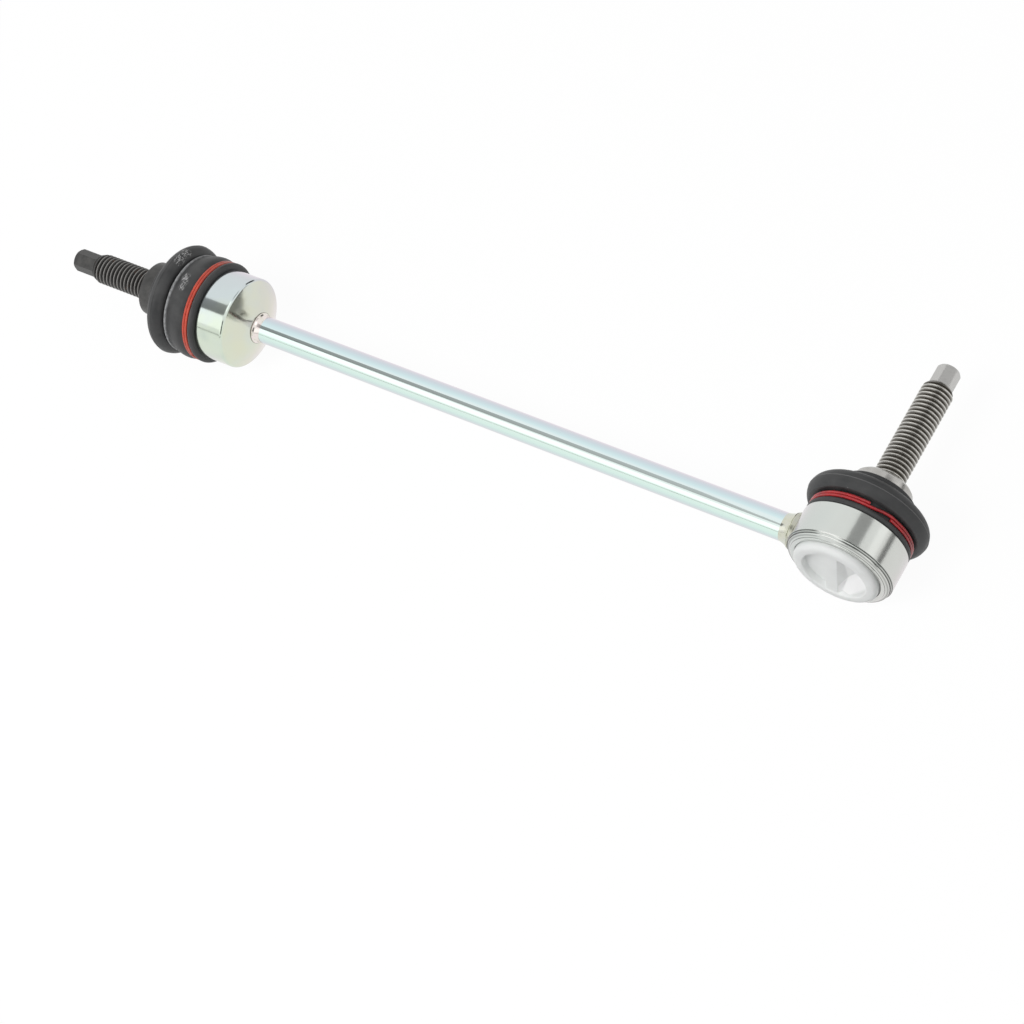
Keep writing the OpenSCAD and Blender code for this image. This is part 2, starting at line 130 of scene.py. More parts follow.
def combine(piece, tool, how):
    """Cuts a piece with a tool, joins the two or keeps what they share, and throws the tool away."""
    modify(piece, "BOOLEAN", object=tool, operation=how, solver="EXACT")
    bpy.data.objects.remove(tool)


def smooth(piece, angle=32):
    """Shades a piece as round, but for the edges that are sharper than the angle."""
    use_only(piece)
    bpy.ops.object.shade_smooth_by_angle(angle=radians(angle))


def cope(piece):
    """Cuts the end of a piece to the round side of the square housing."""
    start_piece()
    bpy.ops.mesh.primitive_cylinder_add(
        vertices=256,
        radius=housing_radius * MM,
        depth=60 * MM,
        location=rod_place,
        rotation=(pi / 2, 0, 0),
    )
    combine(piece, bpy.context.object, "DIFFERENCE")


def finish_for(name):
    """A new material, with its node tree and its shader."""
    made = bpy.data.materials.new(name)
    made.use_nodes = True
    return made, made.node_tree, made.node_tree.nodes["Principled BSDF"]


def add(tree, kind, inputs=(), **settings):
    """One node: its settings, then each input as a value or as a link from another node."""
    made = tree.nodes.new(kind)
    for key, value in settings.items():
        setattr(made, key, value)
    for key, value in dict(inputs).items():
        if isinstance(value, bpy.types.NodeSocket):
            tree.links.new(value, made.inputs[key])
        else:
            made.inputs[key].default_value = value
    return made


def reckon(tree, how, first, second):
    """One step of arithmetic on two values, such as a sum or a product."""
    made = add(tree, "ShaderNodeMath", {0: first, 1: second}, operation=how)
    return made.outputs["Value"]


def lay_over(tree, colour, mask, shade):
    """Lays one colour over another, where the mask says."""
    if not isinstance(shade, bpy.types.NodeSocket):
        shade = (*shade, 1)
    made = add(tree, "ShaderNodeMix", {0: mask, 6: colour, 7: shade}, data_type="RGBA")
    return made.outputs[2]


def ramp(tree, source, stops):
    """Colours by value: stops are (position, (r, g, b)) pairs, in order."""
    made = add(tree, "ShaderNodeValToRGB", {"Fac": source})
    band = made.color_ramp
    for place, _ in stops[2:]:
        band.elements.new(place)
    for spot, (place, colour) in zip(band.elements, stops):
        spot.position = place
        spot.color = (*colour, 1)
    return made.outputs["Color"]


def spread(tree, source, low, high, from_low=0.3, from_high=0.7):
    """A value stretched to new ends, by default from the middle of a noise's reach."""
    made = add(
        tree,
        "ShaderNodeMapRange",
        {"Value": source, "From Min": from_low, "From Max": from_high, "To Min": low, "To Max": high},
    )
    return made.outputs["Result"]


def own_place(tree):
    """A point of the piece in the piece's own coordinates."""
    return add(tree, "ShaderNodeTexCoord").outputs["Object"]


def grain(tree, stretch, detail=2.0, turned=(0, 0, 0), moved=(0, 0, 0)):
    """Noise on the piece's own coordinates, stretched to cells per metre along each axis."""
    mapped = add(
        tree,
        "ShaderNodeMapping",
        {"Vector": own_place(tree), "Scale": stretch, "Rotation": turned, "Location": moved},
    )
    made = add(
        tree,
        "ShaderNodeTexNoise",
        {"Vector": mapped.outputs["Vector"], "Scale": 1.0, "Detail": detail, "Roughness": 0.55},
    )
    return made.outputs["Fac"]


def measure(tree, direction):
    """How far a point of the piece lies along a direction, in metres."""
    made = add(
        tree, "ShaderNodeVectorMath", {0: own_place(tree), 1: direction}, operation="DOT_PRODUCT"
    )
    return made.outputs["Value"]


def relief(tree, shader, height, strength, depth, under=None):
    """Fine height on the surface, in millimetres."""
    inputs = {"Height": height, "Strength": strength, "Distance": depth * MM}
    if under:
        inputs["Normal"] = under
    made = add(tree, "ShaderNodeBump", inputs)
    tree.links.new(made.outputs["Normal"], shader.inputs["Normal"])
    return made.outputs["Normal"]


rod = turn(
    "rod_bar",
    [
        (0, rod_start),
        (rod_radius, rod_start),
        (rod_radius, rod_start + 5),
        (rod_radius, rod_start + 80),
        (rod_radius, rod_end - 80),
        (rod_radius, rod_end - 5),
        (rod_radius, rod_end),
        (0, rod_end),
    ],
    rod_place,
    along_rod,
    steps=160,
)
cope(rod)
smooth(rod)

zinc_sheen = (1.0, 0.95, 0.98, 1)
zinc_rod, tree, shader = finish_for("zinc_plate_on_drawn_bar")
film = grain(tree, (7, 60, 60), detail=1.5, moved=(0.3, 2.1, 0.4))
slant = add(tree, "ShaderNodeLayerWeight", {"Blend": 0.5}).outputs["Facing"]
tint = reckon(tree, "ADD", slant, spread(tree, film, -0.06, 0.06))
cool = ramp(
    tree,
    tint,
    [
        (0.10, (0.76, 0.86, 0.86)),
        (0.16, (0.65, 0.81, 0.83)),
        (0.24, (0.61, 0.745, 0.775)),
        (0.36, (0.61, 0.685, 0.735)),
        (0.54, (0.65, 0.67, 0.715)),
        (0.74, (0.72, 0.71, 0.75)),
    ],
)
green = ramp(
    tree,
    tint,
    [
        (0.10, (0.80, 0.90, 0.85)),
        (0.16, (0.72, 0.87, 0.80)),
        (0.30, (0.685, 0.86, 0.79)),
        (0.42, (0.65, 0.79, 0.765)),
        (0.54, (0.635, 0.74, 0.735)),
        (0.74, (0.64, 0.695, 0.70)),
    ],
)
lower_side = spread(tree, measure(tree, (0, -0.91, -0.41)), 0, 1, 25.5 * MM, 28.2 * MM)
tree.links.new(lay_over(tree, cool, lower_side, green), shader.inputs["Base Color"])
shader.inputs["Metallic"].default_value = 1
shader.inputs["Specular Tint"].default_value = zinc_sheen
drawn = grain(tree, (40, 2600, 2600), detail=3)
tree.links.new(spread(tree, drawn, 0.04, 0.08), shader.inputs["Roughness"])
relief(tree, shader, drawn, 0.05, 0.02)
rod.data.materials.append(zinc_rod)
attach(rod, "link")
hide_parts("rod")


# In-line cup: turned steel with a closed, conical back and a thin seat for the boot, zinc plated like
# the rod. Its mouth is rolled over the ring that keeps the socket in, and the boot's foot hides that.
inline_centre = Vector((-271, -29.5, 0)) * MM
inline_axis = Vector((-1, 0, 0))
cup_end = -19.35
cup_end_radius = 6.45
cup_radius = 18.0
cup_corner = 1.3
cup_shoulder = -1.85
cup_edge = 0.25
cup_seat_radius = 16.6
cup_rim_radius = 17.4
cup_rim_foot = 2.95
cup_rim_top = 5.9
cup_mouth_radius = 13.5
cup_bore_radius = 14.5
cup_floor = -11.55


def bow(centre, radius, start, stop, steps=12):
    """Points on an arc of an outline, from one angle to the other, in degrees."""
    turns = [radians(start + (stop - start) * i / steps) for i in range(steps + 1)]
    return [(centre[0] + radius * cos(a), centre[1] + radius * sin(a)) for a in turns]


cup = turn(
    "cup_housing",
    [(0, cup_end), (cup_end_radius, cup_end), (6.75, -19.22), (16.7, -14.71)]
    + bow((cup_radius - cup_corner, -13.2), cup_corner, -66.6, 0)
    + [
        (cup_radius, -12.8),
        (cup_radius, cup_shoulder - cup_edge),
        (cup_radius - cup_edge, cup_shoulder),
        (cup_seat_radius, cup_shoulder),
        (cup_seat_radius, cup_rim_foot),
        (cup_rim_radius, cup_rim_foot),
        (cup_rim_radius, cup_rim_top - cup_edge),
        (cup_rim_radius - cup_edge, cup_rim_top),
        (cup_mouth_radius, cup_rim_top),
        (cup_mouth_radius, cup_rim_top - 0.9),
        (cup_bore_radius, cup_rim_top - 0.9),
        (cup_bore_radius, cup_floor),
        (0, cup_floor),
    ],
    inline_centre,
    inline_axis,
    steps=192,
)
smooth(cup)


def round_axis(tree, centre, along):
    """Two lengths of a turned piece: the place along its axis and the distance from it, in metres."""
    moved = add(
        tree, "ShaderNodeVectorMath", {0: own_place(tree), 1: centre}, operation="SUBTRACT"
    ).outputs["Vector"]
    crosswise = (0 if along == "X" else 1, 0 if along == "Y" else 1, 1)
    flat = add(
        tree, "ShaderNodeVectorMath", {0: moved, 1: crosswise}, operation="MULTIPLY"
    ).outputs["Vector"]
    reach = add(tree, "ShaderNodeVectorMath", {0: flat}, operation="LENGTH").outputs["Value"]
    height = add(tree, "ShaderNodeSeparateXYZ", {"Vector": moved}).outputs[along]
    return height, reach


def lathe_lines(tree, centre, along, per_metre):
    """Fine rings left by a lathe: noise along the axis and away from it, but not round it."""
    height, reach = round_axis(tree, centre, along)
    pair = add(tree, "ShaderNodeCombineXYZ", {"X": height, "Y": reach}).outputs["Vector"]
    made = add(
        tree,
        "ShaderNodeTexNoise",
        {"Vector": pair, "Scale": per_metre, "Detail": 2.0, "Roughness": 0.6},
    )
    return made.outputs["Fac"]


def zinc_on_turning(name, centre, along, across, tints, rough, uneven):
    """Zinc plate over lathe marks: tints that drift across the piece, fine rings, light scratches. A
    darker end to the tints is painted shade.
    """
    made, tree, shader = finish_for(name)
    middle = centre.dot(Vector(across))
    half_width = 18 * MM
    drift = measure(tree, across)
    side = spread(tree, drift, 0.1, 0.9, middle - half_width, middle + half_width)
    patches = spread(tree, grain(tree, (60, 60, 60), detail=2.5), -0.16, 0.16)
    colour = ramp(tree, reckon(tree, "ADD", side, patches), tints)
    shader.inputs["Metallic"].default_value = 1
    shader.inputs["Specular Tint"].default_value = zinc_sheen
    rings = lathe_lines(tree, centre, along, 2600)
    tree.links.new(spread(tree, rings, *rough), shader.inputs["Roughness"])
    under = relief(tree, shader, rings, 0.07, 0.02)
    scratches = grain(tree, (700, 90, 160), detail=5, turned=(0.4, 0.7, 0.2))
    marks = spread(tree, scratches, 0, 1, 0.66, 0.74)
    under = relief(tree, shader, marks, 0.08, 0.03, under)
    relief(tree, shader, grain(tree, (420, 420, 420), detail=3), uneven, 0.05, under)
    return made, tree, shader, colour


cup_zinc, tree, shader, colour = zinc_on_turning(
    "zinc_plate_on_cup",
    inline_centre,
    "X",
    (0, -1, 0),
    [
        (0.22, (0.605, 0.615, 0.645)),
        (0.40, (0.605, 0.655, 0.67)),
        (0.60, (0.62, 0.69, 0.70)),
        (0.72, (0.65, 0.72, 0.66)),
        (0.84, (0.66, 0.74, 0.62)),
        # The last and darker tint is painted shade, on the cup's edge that is lowest in the camera's
        # view.
        (1.00, (0.56, 0.64, 0.57)),
    ],
    rough=(0.085, 0.14),
    uneven=0.16,
)
height, _ = round_axis(tree, inline_centre, "X")
on_cone = spread(tree, height, 0, 0.75, 14.1 * MM, 14.5 * MM)
straw_patches = grain(tree, (70, 70, 70), detail=2, moved=(1, 4, 2))
straw = reckon(tree, "MULTIPLY", on_cone, spread(tree, straw_patches, 0.35, 1, 0.35, 0.62))
colour = lay_over(tree, colour, straw, (0.70, 0.705, 0.55))
tree.links.new(colour, shader.inputs["Base Color"])
cup.data.materials.append(cup_zinc)
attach(cup, "link")
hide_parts("inline_housing")


# Weld at the cup: a friction weld, which leaves a small hollow ring from the cone's end to the rod.
# It is plated over with the rest, and heat and thicker plating give it a straw to pink tint.
weld_rise = 0.8
weld_lip = 0.3
weld_length = 3.2
weld_radius = 6.25

cup_weld = turn(
    "cup_weld_ring",
    [
        (rod_radius, cup_end),
        (weld_radius, cup_end),
        (weld_radius, cup_end - 0.25),
        (rod_radius + weld_rise, cup_end - weld_lip),
    ]
    + [
        (
            rod_radius + weld_rise * (1 - sin(radians(a))),
            cup_end - weld_lip - (weld_length - weld_lip) * (1 - cos(radians(a))),
        )
        for a in range(10, 91, 10)
    ],
    inline_centre,
    inline_axis,
    closed=True,
)
smooth(cup_weld, 40)


def weld_finish(name, centre, tints, edge):
    """Zinc plate over a weld: heat tints, fine ripples round the rod, painted shade in the corner at its
    edge.
    """
    made, tree, shader = finish_for(name)
    heat = ramp(tree, grain(tree, (260, 330, 330), detail=3), tints)
    _, reach = round_axis(tree, centre, "X")
    # Painted shade: the weld is darkened beyond its edge, in the corner where it meets the piece.
    corner = spread(tree, reach, 0, 0.85, edge * MM, (edge + 0.12) * MM)
    colour = lay_over(tree, heat, corner, (0.20, 0.19, 0.16))
    tree.links.new(colour, shader.inputs["Base Color"])
    shader.inputs["Metallic"].default_value = 1
    ripples = grain(tree, (1900, 160, 160), detail=3)
    tree.links.new(spread(tree, ripples, 0.08, 0.16), shader.inputs["Roughness"])
    relief(tree, shader, ripples, 0.35, 0.08)
    return made


cup_weld.data.materials.append(
    weld_finish(
        "zinc_plate_on_cup_weld",
        inline_centre,
        [
            (0.30, (0.62, 0.58, 0.50)),
            (0.45, (0.80, 0.76, 0.70)),
            (0.57, (0.84, 0.75, 0.73)),
            (0.70, (0.70, 0.70, 0.62)),
        ],
        # The painted shade in the corner begins at this distance from the rod's axis, in mm.
        edge=6.05,
    )
)
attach(cup_weld, "link")
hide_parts("inline_weld")


# Sockets and rings inside the joints: moulded bearing plastic, and turned steel that is left bare.
# They are the solids themselves, hidden by the boots and the housings, with the finish of the seen ones.
def bearing_plastic(name):
    """White moulded plastic: slightly cloudy, satin, with light that passes a little way into it."""
    made, tree, shader = finish_for(name)
    cloud = grain(tree, (120, 120, 120), detail=3)
    colour = ramp(tree, cloud, [(0.3, (0.82, 0.835, 0.825)), (0.7, (0.87, 0.885, 0.875))])
    satin = grain(tree, (900, 900, 900), detail=2)
    tree.links.new(spread(tree, satin, 0.3, 0.45), shader.inputs["Roughness"])
    relief(tree, shader, satin, 0.06, 0.02)
    shader.inputs["Subsurface Weight"].default_value = 0.6
    shader.inputs["Subsurface Radius"].default_value = (1, 1, 1)
    shader.inputs["Subsurface Scale"].default_value = 1.2 * MM
    return made, tree, shader, colour


plastic, tree, shader, colour = bearing_plastic("white_bearing_plastic")
tree.links.new(colour, shader.inputs["Base Color"])

ring_steel, tree, shader = finish_for("bare_turned_rings")
shade = grain(tree, (300, 300, 300), detail=3)
colour = ramp(tree, shade, [(0.3, (0.42, 0.42, 0.41)), (0.7, (0.55, 0.55, 0.54))])
tree.links.new(colour, shader.inputs["Base Color"])
shader.inputs["Metallic"].default_value = 1
tree.links.new(spread(tree, shade, 0.28, 0.42), shader.inputs["Roughness"])

for hidden, finish in (
    ("inline_socket", plastic),
    ("inline_closing_ring", ring_steel),
    ("inline_neck_ring", ring_steel),
    ("radial_neck_ring", ring_steel),
):
    hidden_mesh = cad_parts[hidden].data
    hidden_mesh.materials.clear()
    hidden_mesh.materials.append(finish)


# In-line ball stud: one forging with a ground ball, a collar that seats on the bracket, a rolled M12
# thread and a hexagon that holds it while the nut is wound on. It is phosphated black, with a little
# rust brown.
pitch = 1.75
thread_radius = 6.0
root_radius = 5.05
core_radius = 5.0
hex_corner = 4.619
neck_radius = 5.25
ball_radius = 9.0
undercut_radius = 6.6


def soften(piece, width, segments=3, angle=30):
    """Rounds every edge that is sharper than the angle."""
    modify(
        piece,
        "BEVEL",
        width=width * MM,
        segments=segments,
        limit_method="ANGLE",
        angle_limit=radians(angle),
    )


def ball_and_collar(name, centre, axis, collar, flare_foot, flare_top, seat, bevel, shank_end):
    """The turned and forged body of a stud, up to the foot of its hexagon."""
    meet = degrees(acos(neck_radius / ball_radius))
    outline = bow((0, 0), ball_radius, -90, meet, 24) + [
        (neck_radius, flare_foot),
        (collar, flare_top),
        (collar, seat - bevel),
        (collar - bevel, seat),
        (undercut_radius, seat),
        (undercut_radius, seat - 0.5),
        (core_radius, seat - 0.5),
        (core_radius, shank_end - 0.7),
        (hex_corner + 0.12, shank_end),
        (0, shank_end),
    ]
    made = turn(name, outline, centre, axis)
    soften(made, 0.15, 2)
    return made


def rolled_thread(centre, axis, foot, tip, lead, start_angle):
    """A true screw thread: one pitch of its outline wound up the stud, then trimmed to a blank."""
    along = "X" if axis.x else "Y"
    start = foot - 1.5 * pitch
    flank = pitch * 0.3125
    rise = [
        (root_radius, 0),
        (root_radius, pitch * 0.19),
        (root_radius + 0.09, pitch * 0.19 + 0.08),
        (thread_radius - 0.06, pitch * 0.25 + flank - 0.06),
        (thread_radius, pitch * 0.25 + flank + 0.02),
        (thread_radius, pitch * 0.375 + flank - 0.02),
        (thread_radius - 0.06, pitch * 0.375 + flank + 0.06),
        (root_radius + 0.09, pitch - 0.08),
        (root_radius, pitch),
    ]
    made = draw_line("thread", [(UP * r + axis * (start + h)) * MM for r, h in rise])
    modify(
        made,
        "SCREW",
        axis=along,
        angle=2 * pi,
        screw_offset=pitch * MM * (axis.x or axis.y),
        iterations=int((tip - foot) / pitch) + 3,
        steps=72,
        render_steps=72,
        use_merge_vertices=True,
        merge_threshold=0.001 * MM,
    )
    bpy.ops.object.mode_set(mode="EDIT")
    bpy.ops.mesh.select_all(action="SELECT")
    bpy.ops.mesh.remove_doubles(threshold=same_point)
    for cut, upper in ((foot - 0.2, False), (tip + 0.4, True)):
        bpy.ops.mesh.select_all(action="SELECT")
        bpy.ops.mesh.bisect(
            plane_co=axis * cut * MM,
            plane_no=axis,
            use_fill=True,
            clear_inner=not upper,
            clear_outer=upper,
        )
    bpy.ops.mesh.select_all(action="SELECT")
    bpy.ops.mesh.normals_make_consistent(inside=False)
    bpy.ops.transform.rotate(value=start_angle, orient_axis=along, center_override=(0, 0, 0))
    bpy.ops.transform.translate(value=centre)
    bpy.ops.object.mode_set(mode="OBJECT")
    blank = turn(
        "thread_blank",
        [
            (0, foot - 0.1),
            (core_radius - 0.05, foot - 0.1),
            (thread_radius + 0.01, foot + 1.3),
            (thread_radius + 0.01, tip - lead),
            (core_radius - 0.1, tip),
            (0, tip),
        ],
        centre,
        axis,
        steps=96,
    )
    combine(made, blank, "INTERSECT")
    return made


def hexagon_tip(centre, axis, foot, tip, start_angle):
    """A forged hexagon: its corners are turned off at the end, which has a centre dimple."""
    along = "X" if axis.x else "Y"
    start_piece()
    bpy.ops.mesh.primitive_cylinder_add(
        vertices=6,
        radius=hex_corner * MM,
        depth=(tip - foot) * MM,
        location=centre + axis * (foot + tip) / 2 * MM,
        rotation=(0, pi / 2, 0) if along == "X" else (pi / 2, start_angle, 0),
    )
    made = bpy.context.object
    bpy.ops.object.transform_apply(location=True, rotation=True, scale=True)
    if along == "X":
        bpy.ops.object.mode_set(mode="EDIT")
        bpy.ops.mesh.select_all(action="SELECT")
        bpy.ops.transform.rotate(value=start_angle, orient_axis=along, center_override=centre)
        bpy.ops.object.mode_set(mode="OBJECT")
    soften(made, 0.22, 3)
    blank = turn(
        "hexagon_blank",
        [
            (0, foot - 0.5),
            (hex_corner + 0.2, foot - 0.5),
            (hex_corner + 0.2, tip - 0.95),
            (4.35, tip - 0.55),
            (3.75, tip - 0.12),
            (3.4, tip - 0.01),
            (2.15, tip - 0.01),
            (2.0, tip - 0.12),
            (1.5, tip - 0.6),
            (0.8, tip - 0.88),
            (0, tip - 0.93),
        ],
        centre,
        axis,
        steps=72,
    )
    combine(made, blank, "INTERSECT")
    return made


inline_collar = 10.7
inline_seat = 32.2
inline_hex_foot = 60.4
inline_tip = 70.8
hex_overlap = 0.8

inline_stud = ball_and_collar(
    "inline_stud",
    inline_centre,
    inline_axis,
    inline_collar,
    flare_foot=17.51,
    flare_top=21.6,
    seat=inline_seat,
    bevel=0.5,
    shank_end=inline_hex_foot,
)
combine(
    inline_stud,
    rolled_thread(inline_centre, inline_axis, inline_seat, inline_hex_foot - 0.05, 2.8, 0.4),
    "UNION",
)
combine(
    inline_stud,
    hexagon_tip(inline_centre, inline_axis, inline_hex_foot - hex_overlap, inline_tip, radians(30)),
    "UNION",
)
smooth(inline_stud, 28)


def times(tree, *masks):
    """Several masks as one, which covers only what they share."""
    shared = masks[0]
    for mask in masks[1:]:
        shared = reckon(tree, "MULTIPLY", shared, mask)
    return shared


phosphate, tree, shader = finish_for("black_phosphate_on_stud")
mottle = grain(tree, (420, 420, 420), detail=4)
colour = ramp(tree, mottle, [(0.3, (0.042, 0.042, 0.041)), (0.7, (0.078, 0.076, 0.073))])
height, reach = round_axis(tree, inline_centre, "X")
past_seat = spread(tree, height, 0, 1, -32.0 * MM, -32.5 * MM)
before_tip = spread(tree, height, 1, 0, -59.9 * MM, -60.3 * MM)
on_thread = times(tree, past_seat, before_tip)
# Painted shade darkens the thread's roots, and a painted highlight lightens its crests.
root_shade = spread(tree, reach, 0.85, 0, 5.3 * MM, 5.8 * MM)
below_crest = spread(tree, reach, 1, 0, 5.4 * MM, 5.8 * MM)
crest_highlight = spread(tree, reach, 0, 1, 5.78 * MM, 5.92 * MM)
rust_noise = grain(tree, (520, 300, 300), detail=5, moved=(3, 1, 7))
rust_spots = spread(tree, rust_noise, 0, 1, 0.60, 0.70)
colour = lay_over(tree, colour, times(tree, root_shade, on_thread), (0.012, 0.010, 0.009))
rust = times(tree, rust_spots, below_crest, on_thread)
colour = lay_over(tree, colour, rust, (0.075, 0.036, 0.018))
colour = lay_over(tree, colour, times(tree, crest_highlight, on_thread), (0.27, 0.262, 0.25))
tree.links.new(colour, shader.inputs["Base Color"])
shader.inputs["Metallic"].default_value = 0.25
tree.links.new(spread(tree, mottle, 0.36, 0.5), shader.inputs["Roughness"])
crystal = grain(tree, (2600, 2600, 2600), detail=2)
relief(tree, shader, crystal, 0.12, 0.02)
inline_stud.data.materials.append(phosphate)
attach(inline_stud, "inline_stud_body")
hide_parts("inline_ball_stud")


# In-line boot: moulded black rubber with two folds, clamped on the cup and free to turn on the stud's
# collar. Handling leaves pale scuffs along the sharp rim of the second fold and in a few patches.
inline_fold = (18.15, 17.0)
inline_fold_radius = 3.75
bead_radius = 1.3


def swell(low, crest, high, steps=10):
    """A smooth fold between two ends of an outline, with its crest between them."""

    def point(end, h):
        share = (crest[1] - h) / (crest[1] - end[1])
        return crest[0] - (crest[0] - end[0]) * share**2, h

    rise = [point(low, low[1] + (crest[1] - low[1]) * i / steps) for i in range(steps)]
    fall = [point(high, crest[1] + (high[1] - crest[1]) * i / steps) for i in range(steps + 1)]
    return rise + fall


def neck_of_boot(collar, foot, top, ease=0.0):
    """The thick neck of rubber round its ring, from its outside to its bore; ease widens the groove and
    the bore.
    """
    outside = collar + 3.1
    bore = collar + 0.35
    groove = collar + 1.4 + ease
    groove_foot = foot + 0.9 - ease / 2
    groove_top = top - 0.9
    return (
        [(outside, foot + 0.9)]
        + bow((outside - 0.7, top - 0.7), 0.7, 0, 90, 5)
        + [
            (collar + 0.75, top),
            (bore, top - 0.3),
            (bore, groove_top),
            (groove, groove_top),
            (groove, groove_foot),
            (bore + ease, groove_foot),
            (bore + 1.3 * ease, foot),
        ]
    )


inline_boot = turn(
    "inline_boot_rubber",
    [(16.75, -1.7), (18.6, -1.7)]
    + bow((18.95, -0.4), bead_radius, -80, 90)
    + [(18.95, 3.1)]
    + swell((19.65, 3.15), (20.6, 5.9), (19.2, 11.25))
    + bow((19.05, 11.95), 0.6, -70, 75, 8)
    + [(18.6, 12.8), (18.05, 13.1)]
    + bow(inline_fold, inline_fold_radius, -88, 0, 18)
    + [(21.98, 17.05), (21.98, 17.25)]
    + [
        (
            inline_fold[0] + inline_fold_radius * cos(radians(a)),
            inline_fold[1] + 3.4 * sin(radians(a)),
        )
        for a in range(7, 113, 7)
    ]
    + [(16.0, 20.15), (14.9, 20.5), (14.2, 21.0)]
    + neck_of_boot(inline_collar, 20.7, 25.2)
    + bow((18.25, 17.0), 1.6, 115, -90, 10)
    + [(16.6, 11.8), (18.4, 6.6), (17.55, 6.05), (17.55, 2.8), (16.75, 2.8)],
    inline_centre,
    inline_axis,
    steps=160,
    closed=True,
)
smooth(inline_boot, 38)


def dusty_rubber(name, dust):
    """Moulded rubber: nearly black, with bloom in soft patches and a fine moulded grain."""
    made, tree, shader = finish_for(name)
    bloom = grain(tree, (140, 140, 140), detail=4)
    dusty = (0.034 + 0.056 * dust,) * 3
    colour = ramp(tree, bloom, [(0.35, (0.030, 0.031, 0.032)), (0.72, dusty)])
    tree.links.new(spread(tree, bloom, 0.42, 0.58), shader.inputs["Roughness"])
    shader.inputs["Specular IOR Level"].default_value = 0.45
    skin = grain(tree, (1500, 1500, 1500), detail=3)
    relief(tree, shader, skin, 0.16, 0.03)
    return made, tree, shader, colour


def near(tree, spot, reach):
    """One at a spot on the surface and nothing beyond its reach, in metres."""
    far = add(tree, "ShaderNodeVectorMath", {0: own_place(tree), 1: spot}, operation="DISTANCE")
    return spread(tree, far.outputs["Value"], 1, 0, 0.3 * reach, reach)


def between(tree, value, low, high, edge, full=1):
    """A mask between two limits in mm, with soft ends."""
    above = spread(tree, value, 0, 1, (low - edge) * MM, (low + edge) * MM)
    below = spread(tree, value, full, 0, (high - edge) * MM, (high + edge) * MM)
    return times(tree, above, below)


inline_rubber, tree, shader, colour = dusty_rubber("inline_boot_rubber", dust=0.6)
height, reach = round_axis(tree, inline_centre, "X")
broken = spread(tree, grain(tree, (1500, 700, 700), detail=4), 0.4, 1, 0.34, 0.56)
rim = times(tree, between(tree, height, -12.7, -11.4, 0.2), broken)
colour = lay_over(tree, colour, rim, (0.33, 0.335, 0.34))
bead_crest = spread(tree, reach, 0, 1, 19.9 * MM, 20.1 * MM)
bead = times(tree, between(tree, height, -0.65, -0.05, 0.15), broken, bead_crest)
colour = lay_over(tree, colour, bead, (0.14, 0.14, 0.14))
fleck_noise = grain(tree, (4200, 650, 2300), detail=3, turned=(0.5, 0.2, 0.6))
flecks = spread(tree, fleck_noise, 0, 1, 0.53, 0.58)
for spot, size in (
    ((-286.5, -19.8, 19.6), 2.6),
    ((-286.3, -22.8, 20.7), 3.0),
    ((-285.9, -25.5, 20.9), 2.2),
    ((-279.3, -30.6, 20.4), 2.4),
    ((-278.6, -32.8, 20.2), 2.2),
    ((-278.3, -34.9, 19.8), 1.8),
):
    patch = near(tree, Vector(spot) * MM, size * MM)
    colour = lay_over(tree, colour, times(tree, patch, flecks), (0.62, 0.62, 0.62))
tree.links.new(colour, shader.inputs["Base Color"])
inline_boot.data.materials.append(inline_rubber)
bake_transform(inline_boot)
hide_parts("inline_boot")


# Clamp ring of the in-line boot: red coated spring wire, wound twice in the groove above the boot's
# bead. The second turn stops short of the place where the wire steps up from the first one.
wire_radius = 0.56
wire_pitch = 1.14
wire_steps = 180


def wound_wire(name, centre, axis, ring, low, gap_at, gap):
    """Two turns of wire side by side: the first level, a step up at the gap, then the second level."""
    side = axis.cross(UP)
    start_piece()
    bpy.ops.curve.primitive_nurbs_path_add(radius=MM)
    made = bpy.context.object
    made.name = name
    path = made.data
    path.splines.clear()
    line = path.splines.new("POLY")
    line.points.add(2 * wire_steps - int(wire_steps * gap / 360))
    for i, point in enumerate(line.points):
        angle = 360 * i / wire_steps
        climb = min(max((angle - 360 + gap) / gap, 0), 1)
        level = low + wire_pitch * climb * climb * (3 - 2 * climb)
        a = radians(gap_at + gap / 2 + angle)
        spoke = UP * cos(a) + side * sin(a)
        point.co = (*(centre + (spoke * ring + axis * level) * MM), 1)
    path.dimensions = "3D"
    path.bevel_depth = wire_radius * MM
    path.bevel_resolution = 4
    path.use_fill_caps = True
    use_only(made)
    bpy.ops.object.convert(target="MESH")
    made = bpy.context.object
    smooth(made, 60)
    return made


inline_wire = wound_wire(
    "inline_clamp_wire", inline_centre, inline_axis, ring=19.6, low=1.43, gap_at=250, gap=24
)


def red_coat(name, dark, light):
    """Coloured lacquer on wire: a little uneven, worn paler in short lengths."""
    made, tree, shader = finish_for(name)
    uneven = grain(tree, (260, 260, 260), detail=4)
    tree.links.new(ramp(tree, uneven, [(0.32, dark), (0.68, light)]), shader.inputs["Base Color"])
    tree.links.new(spread(tree, uneven, 0.28, 0.42), shader.inputs["Roughness"])
    shader.inputs["Coat Weight"].default_value = 0.3
    relief(tree, shader, grain(tree, (1800, 1800, 1800)), 0.08, 0.02)
    return made


inline_wire.data.materials.append(
    red_coat("red_lacquer_inline", (0.50, 0.045, 0.022), (0.66, 0.085, 0.040))
)
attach(inline_wire, "link")
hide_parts("inline_clamp_ring")


# Square housing: a short turned tube across the rod's end, zinc plated, with a thin seat for its boot.
# Its lower edge is rolled in over the plastic socket, which leaves fine grooves above the round lip;
# painted shade darkens them.
radial_centre = Vector((0, -27, 0)) * MM
radial_axis = Vector((0, 1, 0))
housing_top = 3.6
housing_edge = 0.25
housing_bore = 17.0
flange_radius = 17.8
flange_foot = 8.4
flange_top = 9.8
step_radius = 12.55

